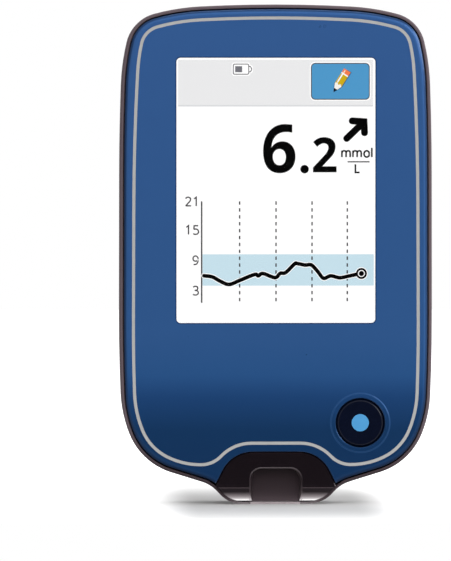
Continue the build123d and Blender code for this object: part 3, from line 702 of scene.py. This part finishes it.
# %% [markdown]
# The battery sign is a rounded frame with a bar of charge in it and a bent line for the tip. A
# white film a little larger than the sign lies under it, which gives it a clean edge on grey.

# %% Battery sign
tip = bend([(13.98, 49.08), (14.28, 48.98), (14.51, 48.53), (14.28, 48.08), (13.98, 47.98)])
battery_frame = (panel(10.92, 47.48, 14.04, 49.58, 0.38), panel(11.09, 47.65, 13.87, 49.41, 0.22))
cut_film("battery_halo", page_white, 3,
         [panel(10.7, 47.26, 14.26, 49.8, 0.5), panel(14.0, 47.78, 14.76, 49.28, 0.4)])
cut_film("battery_outline", sign_grey, 4, [battery_frame, stroke(tip, 0.17)])
cut_film("battery_charge", charge_grey, 5, [panel(11.36, 47.95, 12.7, 49.11)])

# %% [markdown]
# The note button is built up in the same way, from a white film, a dark rim and a blue face.
# Each film is a little smaller than the one under it, so every edge is as wide as it should be.

# %% Note button
cut_film("note_button_halo", page_white, 3, [panel(25.6, 42.5, 37.25, 49.93, 1.0)])
cut_film("note_button_rim", ink_grey, 4, [panel(25.81, 42.71, 37.03, 49.72, 0.83)])
cut_film("note_button_face", note_blue, 5, [panel(25.98, 42.88, 36.86, 49.55, 0.68)])

# %% [markdown]
# The pencil is drawn along its own axis, from the point at zero to the rubber at its far end,
# and each band of it is one film. Turning the axis to its angle places all of them together,
# which is easier than working out every slanted corner.

# %% Pencil
POINT_AT, RUBBER_AT = Vector((30.14, 44.2)), Vector((32.76, 48.31))
ALONG = (RUBBER_AT - POINT_AT).normalized()
ACROSS = Vector((-ALONG.y, ALONG.x))
HALF = 0.74
BANDS = (
    ("pencil_shade", 6, (34, 70, 112),
     [(-0.1, 0.0), (1.55, -HALF - 0.13), (4.95, -HALF - 0.13), (4.95, 0.0), (1.5, HALF + 0.07)]),
    ("pencil_body", 7, (214, 178, 24), [(1.6, -HALF), (3.8, -HALF), (3.8, HALF), (1.6, HALF)]),
    ("pencil_ferrule", 7, (255, 255, 255),
     [(3.8, -HALF), (4.06, -HALF), (4.06, HALF), (3.8, HALF)]),
    ("pencil_rubber", 7, (250, 128, 78),
     [(4.06, -HALF), (4.88, -HALF), (4.88, HALF), (4.06, HALF)]),
    ("pencil_wood", 8, (255, 252, 246),
     [(0.0, 0.0), (1.6, -HALF), (1.95, -0.36), (1.6, 0.0), (1.95, 0.36), (1.6, HALF)]),
    ("pencil_shine", 8, (255, 255, 255), [(2.0, 0.26), (3.8, 0.26), (3.8, 0.52), (2.0, 0.52)]),
    ("rubber_shine", 8, (255, 236, 214), [(4.1, 0.24), (4.65, 0.24), (4.65, 0.46), (4.1, 0.46)]),
    ("pencil_lead", 9, (6, 6, 8), [(0.0, 0.0), (0.72, -0.38), (0.72, 0.38)]),
)


def on_pencil(along, across):
    """A place on the pencil as a place on the picture."""
    place = POINT_AT + ALONG * along + ACROSS * across
    return place.x, place.y


for name, layer, colour, corners in BANDS:
    cut_film(name, glow(name, linear(*colour), 1.0), layer, [[on_pencil(*c) for c in corners]])
print("pencil bands:", len(BANDS))

# %% [markdown]
# ## The reading
# The big number is a six, a point and a smaller two, in a bold plain face. A text object could
# set it, but Blender's own font is thinner and rounder. Each figure is cut from one closed
# outline, and the six has a second one for its eye. Between corners an outline runs in Bezier
# arcs, each given by its two ends and the two handles that pull it.

# %% Outlines of the figures
ARC_STEPS = 10
SAME_PLACE = 1e-6


def arcs(start, *pieces):
    """An outline from straight pieces, one point each, and arcs, two handles and an end each."""
    outline = [Vector(start)]
    for piece in pieces:
        if len(piece) == 2:
            outline.append(Vector(piece))
            continue
        a, b, c, d = outline[-1], Vector(piece[0]), Vector(piece[1]), Vector(piece[2])
        for k in range(1, ARC_STEPS + 1):
            t = k / ARC_STEPS
            outline.append(a * (1 - t) ** 3 + 3 * b * t * (1 - t) ** 2
                           + 3 * c * t * t * (1 - t) + d * t ** 3)
    closed = (outline[-1] - outline[0]).length < SAME_PLACE
    return outline[:-1] if closed else outline


six = arcs(
    (22.25, 37.98), (22.25, 36.46),
    ((19.72, 36.95), (18.41, 35.83), (18.29, 33.64)),
    ((18.77, 34.37), (19.51, 34.78), (20.37, 34.78)),
    ((21.89, 34.78), (22.87, 33.6), (22.87, 31.87)),
    ((22.87, 29.99), (21.65, 28.71), (19.86, 28.71)),
    ((17.78, 28.71), (16.69, 30.29), (16.69, 32.88)),
    ((16.69, 36.12), (18.39, 38.09), (20.86, 38.08)),
)
six_eye = arcs(
    (21.03, 31.78), ((21.03, 32.75), (20.55, 33.32), (19.8, 33.32)),
    ((19.0, 33.32), (18.53, 32.6), (18.53, 31.9)),
    ((18.53, 30.9), (19.05, 30.23), (19.8, 30.23)),
    ((20.6, 30.23), (21.03, 30.8), (21.03, 31.78)),
)
two = arcs(
    (26.24, 34.65), ((26.79, 35.24), (27.5, 35.58), (28.32, 35.58)),
    ((29.67, 35.58), (30.51, 34.86), (30.51, 33.77)),
    ((30.51, 32.72), (29.83, 31.94), (29.35, 31.47)),
    (28.0, 30.02), (30.71, 30.02), (30.71, 28.88), (26.21, 28.88), (26.21, 29.79), (28.28, 32.0),
    ((28.8, 32.57), (29.14, 33.07), (29.14, 33.6)),
    ((29.14, 34.13), (28.78, 34.4), (28.24, 34.4)),
    ((27.78, 34.4), (27.37, 34.06), (27.0, 33.74)),
)
cut_film("reading_figures", ink_black, 1, [(six, six_eye), two, circle(24.6, 29.48, 0.81)])
print("points in the six:", len(six) + len(six_eye))

# %% [markdown]
# The arrow beside the number says which way the reading is going. It is two strokes of one
# thick pen, the shaft and the bent head, on two films so that their overlap does no harm.

# %% Trend arrow
ARROW_WIDTH = 1.32
shaft = [(32.64, 35.33), (35.85, 38.42)]
head = [(33.69, 38.68), (35.94, 38.53), (36.04, 36.42)]
cut_film("trend_arrow_shaft", ink_black, 1, [stroke(shaft, ARROW_WIDTH)])
cut_film("trend_arrow_head", ink_black, 2, [stroke(head, ARROW_WIDTH)])

# %% [markdown]
# ## Small lettering
# The unit beside the reading and the numbers on the chart are drawn with a thin pen. A figure
# is a few strokes in a box of its own, one wide and 1.7 high, so that the same figure can be
# set anywhere. It is the plain lettering of any scale or gauge.

# %% Thin figures
THIN = {
    "1": [[(0.0, 1.36), (0.42, 1.68), (0.42, 0.0)]],
    "2": [bend([(0.0, 1.42), (0.26, 1.65), (0.62, 1.68), (0.95, 1.42), (0.86, 0.98), (0.45, 0.5),
                (0.03, 0.05)]),
          [(0.03, 0.05), (1.08, 0.05)]],
    "3": [bend([(0.03, 1.54), (0.45, 1.69), (0.86, 1.56), (0.92, 1.24), (0.72, 0.96),
                (0.34, 0.9)]),
          bend([(0.34, 0.9), (0.8, 0.84), (1.03, 0.54), (0.92, 0.18), (0.5, 0.02), (0.0, 0.12)])],
    "5": [[(0.96, 1.66), (0.2, 1.66), (0.14, 0.94)],
          bend([(0.14, 0.94), (0.5, 1.03), (0.88, 0.88), (1.03, 0.5), (0.86, 0.14), (0.45, 0.02),
                (0.0, 0.12)])],
    "9": [bend([(1.0, 1.1), (0.82, 0.8), (0.48, 0.7), (0.12, 0.88), (0.03, 1.24), (0.2, 1.58),
                (0.54, 1.69), (0.88, 1.5), (1.0, 1.1), (0.94, 0.55), (0.68, 0.14), (0.14, 0.03)])],
    "m": [[(0.0, 1.24), (0.0, 0.0)],
          bend([(0.0, 0.8), (0.16, 1.12), (0.46, 1.2), (0.72, 1.08), (0.79, 0.8), (0.79, 0.0)]),
          bend([(0.79, 0.8), (0.95, 1.12), (1.25, 1.2), (1.5, 1.08), (1.57, 0.8), (1.57, 0.0)])],
    "o": [bend([(1.02, 0.6), (0.92, 0.98), (0.52, 1.21), (0.12, 0.98), (0.02, 0.6), (0.12, 0.22),
                (0.52, 0.0), (0.92, 0.22), (1.02, 0.6)])],
    "l": [[(0.0, 1.78), (0.0, 0.0)]],
    "L": [[(0.0, 1.6), (0.0, 0.04), (0.8, 0.04)]],
}
print("figures drawn:", "".join(THIN))

# %% [markdown]
# A word is set letter by letter, each a step to the right of the one before, as a typesetter
# does. The steps are written out, because these figures have no spacing of their own.

# %% Unit and scale numbers
UNIT_PEN, FIGURE_PEN = 0.32, 0.26


def written(text, x, y, advances, pen):
    """The outlines of a word set from x, each letter so far after the one before."""
    outlines = []
    for letter, advance in zip(text, advances):
        x += advance
        runs = ([(x + p[0], y + p[1]) for p in run] for run in THIN[letter])
        outlines += [stroke(run, pen, False) for run in runs]
    return outlines


unit = written("mmol", 31.73, 31.78, (0, 2.11, 2.1, 1.5), UNIT_PEN)
unit += written("L", 34.3, 28.82, (0,), UNIT_PEN)
cut_film("reading_unit", ink_black, 1, unit)
cut_film("unit_rule", ink_grey, 1, [panel(32.81, 30.76, 37.01, 31.0)])
SCALE = (
    ("21", 1.9, 22.45, (0, 1.62)), ("15", 2.05, 17.05, (0, 1.3)),
    ("9", 3.3, 11.25, (0,)), ("3", 3.3, 5.47, (0,)),
)
numbers = []
for text, x, y, advances in SCALE:
    numbers += written(text, x, y, advances, FIGURE_PEN)
cut_film("scale_numbers", ink_grey, 1, numbers)

# %% [markdown]
# ## The chart
# Eight hours of readings run across a pale blue target band, between dashed lines that mark
# the time. The dashes are small panels, repeated down each line by a loop.

# %% Chart ground
CHART_TOP = 23.36
DASH_LINES = (12.22, 19.16, 26.03, 32.76)
DASHES = 15
DASH, DASH_STEP, DASH_WIDE = 0.66, 1.315, 0.27

cut_film("target_band", band_blue, 1, [panel(5.14, 7.27, 37.82, 13.25)])
cut_film("scale_line", ink_grey, 2, [panel(4.84, 4.0, 5.12, CHART_TOP)])
dashes = []
for middle in DASH_LINES:
    for k in range(DASHES):
        top = CHART_TOP - k * DASH_STEP
        dashes.append(panel(middle - DASH_WIDE / 2, top - DASH, middle + DASH_WIDE / 2, top))
cut_film("hour_dashes", ink_grey, 2, dashes)

# %% [markdown]
# The line of readings has a thin white edge, which keeps it clear of the dashes that it
# crosses, and ends in a ring at the last reading. One long outline would cross itself on the
# inside of a tight bend, so the line is laid as short strokes with round ends, one from each
# reading to the next.

# %% Chart line
readings = [
    (5.4, 9.18), (7.05, 8.93), (8.52, 8.12), (10.22, 7.51), (12.17, 8.25), (15.07, 9.4),
    (15.78, 9.15), (16.67, 9.59), (18.98, 8.8), (19.96, 9.62), (20.99, 9.77), (22.71, 11.42),
    (23.28, 11.47), (24.69, 11.2), (25.92, 11.2), (27.14, 9.94), (28.23, 8.67), (29.59, 9.13),
    (31.29, 8.77), (32.74, 9.03), (34.4, 9.38),
]
CHART_PEN, EDGE = 0.74, 0.13
LAST = (35.46, 9.58)
BEND_STEPS = 6
path = bend(readings, BEND_STEPS)
spans = [path[k:k + BEND_STEPS + 1] for k in range(0, len(path) - 1, BEND_STEPS)]
cut_film("last_reading_ground", page_white, 2, [circle(*LAST, 1.2)])
cut_film("reading_line_edge", page_white, 3,
         [stroke(span, CHART_PEN + 2 * EDGE) for span in spans])
cut_film("reading_line", ink_black, 4, [stroke(span, CHART_PEN) for span in spans])
cut_film("last_reading_ring", ink_black, 6, [(circle(*LAST, 1.06), circle(*LAST, 0.66))])
cut_film("last_reading_dot", ink_black, 6, [circle(*LAST, 0.5)])
print("chart points:", len(path))

# %% [markdown]
# ## Floor and room
# The meter stands on a white table in a white room. The table is white to the camera, except
# in an oval patch round the foot: there grey paper under the lamps shows as a painted shadow,
# with the meter's own soft shadow in it. It ends 60 mm in front, because the flat face mirrors
# what lies low in front of it, and past the edge of the table that is dark, so the face keeps
# its own blue. Under the foot lies a narrow bright strip that only mirrored rays see: it draws
# the pale roll at the foot of the gloss black port. The same could be had with more lamps, but
# they would wash out the shadow.

# %% Floor
FLOOR_BOX = (-0.9, 0.9, -0.06, 1.2)
SHADOW_PATCH = ((0, 3.5), (14.5, 16), (8, 45))
SHADOW_WIDTHS = 1.6
WHITE_AT_FOOT = 0.1
STRIP_PATCH = ((0, 4.5), (11, 1), (3, 4.5))
STRIP_GLOW = 8.0


def outside(tree, where, middle, core, fade):
    """How far outside an oval patch of the table a place lies, in widths of its soft edge."""
    half = Vector((*core, 0)) * MM
    past = survey(tree, "SUBTRACT", folded(tree, where, spot(*middle, 0)), half)
    widths = Vector((1 / fade[0], 1 / fade[1], 0)) / MM
    return beyond(tree, survey(tree, "MULTIPLY", past, widths))


def white_floor():
    """Paper, white outside a painted oval shadow, with a strip of light for mirrored rays."""
    material, tree, shader = finish("white_table")
    paper = mix(tree, speckle(tree, 40, 2), linear(189, 189, 189), linear(186, 186, 186))
    tree.links.new(paper, shader.inputs["Base Color"])
    shader.inputs["Roughness"].default_value = 0.9
    shader.inputs["Specular IOR Level"].default_value = 0.0
    rays = add(tree, "LightPath").outputs
    where = add(tree, "TexCoord").outputs["Object"]
    smooth = {"interpolation_type": "SMOOTHSTEP"}
    # Painted shadow: inside this oval the grey paper shows, outside it the table is white.
    off_shadow = outside(tree, where, *SHADOW_PATCH)
    white = stretch(tree, off_shadow, 0.0, SHADOW_WIDTHS, WHITE_AT_FOOT, 1.0, **smooth)
    off_strip = outside(tree, where, *STRIP_PATCH)
    strip = stretch(tree, off_strip, 0.0, 1.0, STRIP_GLOW, 0.0, **smooth)
    direct = reckon(tree, "MAXIMUM", rays["Is Camera Ray"], rays["Is Transmission Ray"])
    seen = reckon(tree, "MULTIPLY", direct, white)
    mirrored = reckon(tree, "MULTIPLY", rays["Is Glossy Ray"], strip)
    tree.links.new(reckon(tree, "ADD", seen, mirrored), shader.inputs["Emission Strength"])
    shader.inputs["Emission Color"].default_value = (1.0, 1.0, 1.0, 1)
    return material


left, right, near, far = FLOOR_BOX
corners = [(left, near, 0), (right, near, 0), (right, far, 0), (left, far, 0)]
floor_mesh = bpy.data.meshes.new("table")
floor_mesh.from_pydata(corners, [], [(0, 1, 2, 3)])
floor_mesh.materials.append(white_floor())
floor = bpy.data.objects.new("table", floor_mesh)
bpy.context.scene.collection.objects.link(floor)
floor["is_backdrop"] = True
print("table:", right - left, "by", far - near, "m")

# %% [markdown]
# The room itself is the world. The camera sees it as pure white. In front of the meter, gloss
# and glass see a dark middle with a pale ring round it, brightest up on the right, which leaves
# the flat face deep and draws a thin line on every small bevel. Behind it they see the pale
# room. For soft light the room is a grey, stronger from above, that fills the shadows. A
# panorama image could do the same, but a few greys on a ramp are easier to read and change.

# %% World
RING = ((0.05, 0.03), (0.14, 0.9), (0.33, 0.9), (0.42, 0.35), (0.55, 0.35), (0.72, 1.0))
UP_RIGHT = (0.6, 0, 0.8)
RING_DIM, RING_FULL = 0.35, 1.0
GREY_BELOW, GREY_ABOVE = 0.15, 0.6

world = bpy.data.worlds.new("white_room")
bpy.context.scene.world = world
world.use_nodes = True
sky = world.node_tree
sky.nodes.clear()
direction = add(sky, "TexCoord").outputs["Generated"]
towards = add(sky, "SeparateXYZ", {"Vector": direction}).outputs
turn = stretch(sky, towards["Y"], -1.0, 1.0)
ring = ramp(sky, turn, [(place, (level, level, level, 1)) for place, level in RING])
slant = survey(sky, "DOT_PRODUCT", direction, UP_RIGHT)
mirrored = reckon(sky, "MULTIPLY", ring, stretch(sky, slant, -1.0, 0.6, RING_DIM, RING_FULL))
ambient = stretch(sky, towards["Z"], -0.4, 0.6, GREY_BELOW, GREY_ABOVE)
rays = add(sky, "LightPath").outputs
sharp = reckon(sky, "MAXIMUM", rays["Is Glossy Ray"], rays["Is Transmission Ray"])
soft = add(sky, "Mix", {"Factor": sharp, "A": ambient, "B": mirrored}).outputs["Result"]
level = add(sky, "Mix", {"Factor": rays["Is Camera Ray"], "A": soft, "B": 1.0}).outputs["Result"]
room = add(sky, "Background", {"Color": (1.0, 1.0, 1.0, 1), "Strength": level})
add(sky, "OutputWorld", {"Surface": room.outputs["Background"]})
print("room lit by", len(sky.nodes), "nodes")

# %% [markdown]
# ## Lamps
# A large soft lamp above and in front, a little to the right, gives the shape its light. It is
# left out of every mirror image, or its haze would grey the lacquer. A smaller one on the right
# lights the flank and its fillet, one up on the right is only mirrored, and one above and
# behind draws the thin bright line on the top edge. Small lamps or a sun would light it too,
# but with hard shadows that hide the shape.

# %% Lamps
def lamp(name, place, aim, size, power, diffuse=True, glossy=True):
    """A square soft lamp that faces a point, all in metres and watts. It can leave out the soft
    light, and only be mirrored, or the other way round."""
    data = bpy.data.lights.new(name, "AREA")
    data.size, data.energy = size, power
    made = bpy.data.objects.new(name, data)
    made.visible_diffuse, made.visible_glossy = diffuse, glossy
    made.location = place
    made.rotation_euler = (Vector(aim) - Vector(place)).to_track_quat("-Z", "Y").to_euler()
    bpy.context.scene.collection.objects.link(made)
    return made


MIDDLE = (0, 0, 0.05)
lamp("front_soft", (0.12, -0.9, 0.5), MIDDLE, 0.6, 9.5, glossy=False)
lamp("side_right", (0.72, 0.08, 0.35), MIDDLE, 0.4, 3.8)
lamp("upper_right", (0.6, -0.34, 0.45), MIDDLE, 0.6, 3.0, diffuse=False)
lamp("above_behind", (0.02, 0.4, 0.75), MIDDLE, 0.35, 1.5)

# %% [markdown]
# ## Sizes at the end
# The dressed model is meant to stay inside its solids, so how far its box grows past theirs is
# printed. The plain view transform shows each colour as it was mixed.

# %% Sizes and finish
bpy.context.scene.view_settings.view_transform = "Standard"
seen_low, seen_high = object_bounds()
growth = [round((a - b) / MM, 3) for a, b in zip(seen_high - seen_low, cad_high - cad_low)]
print("grown by, in millimetres:", growth)
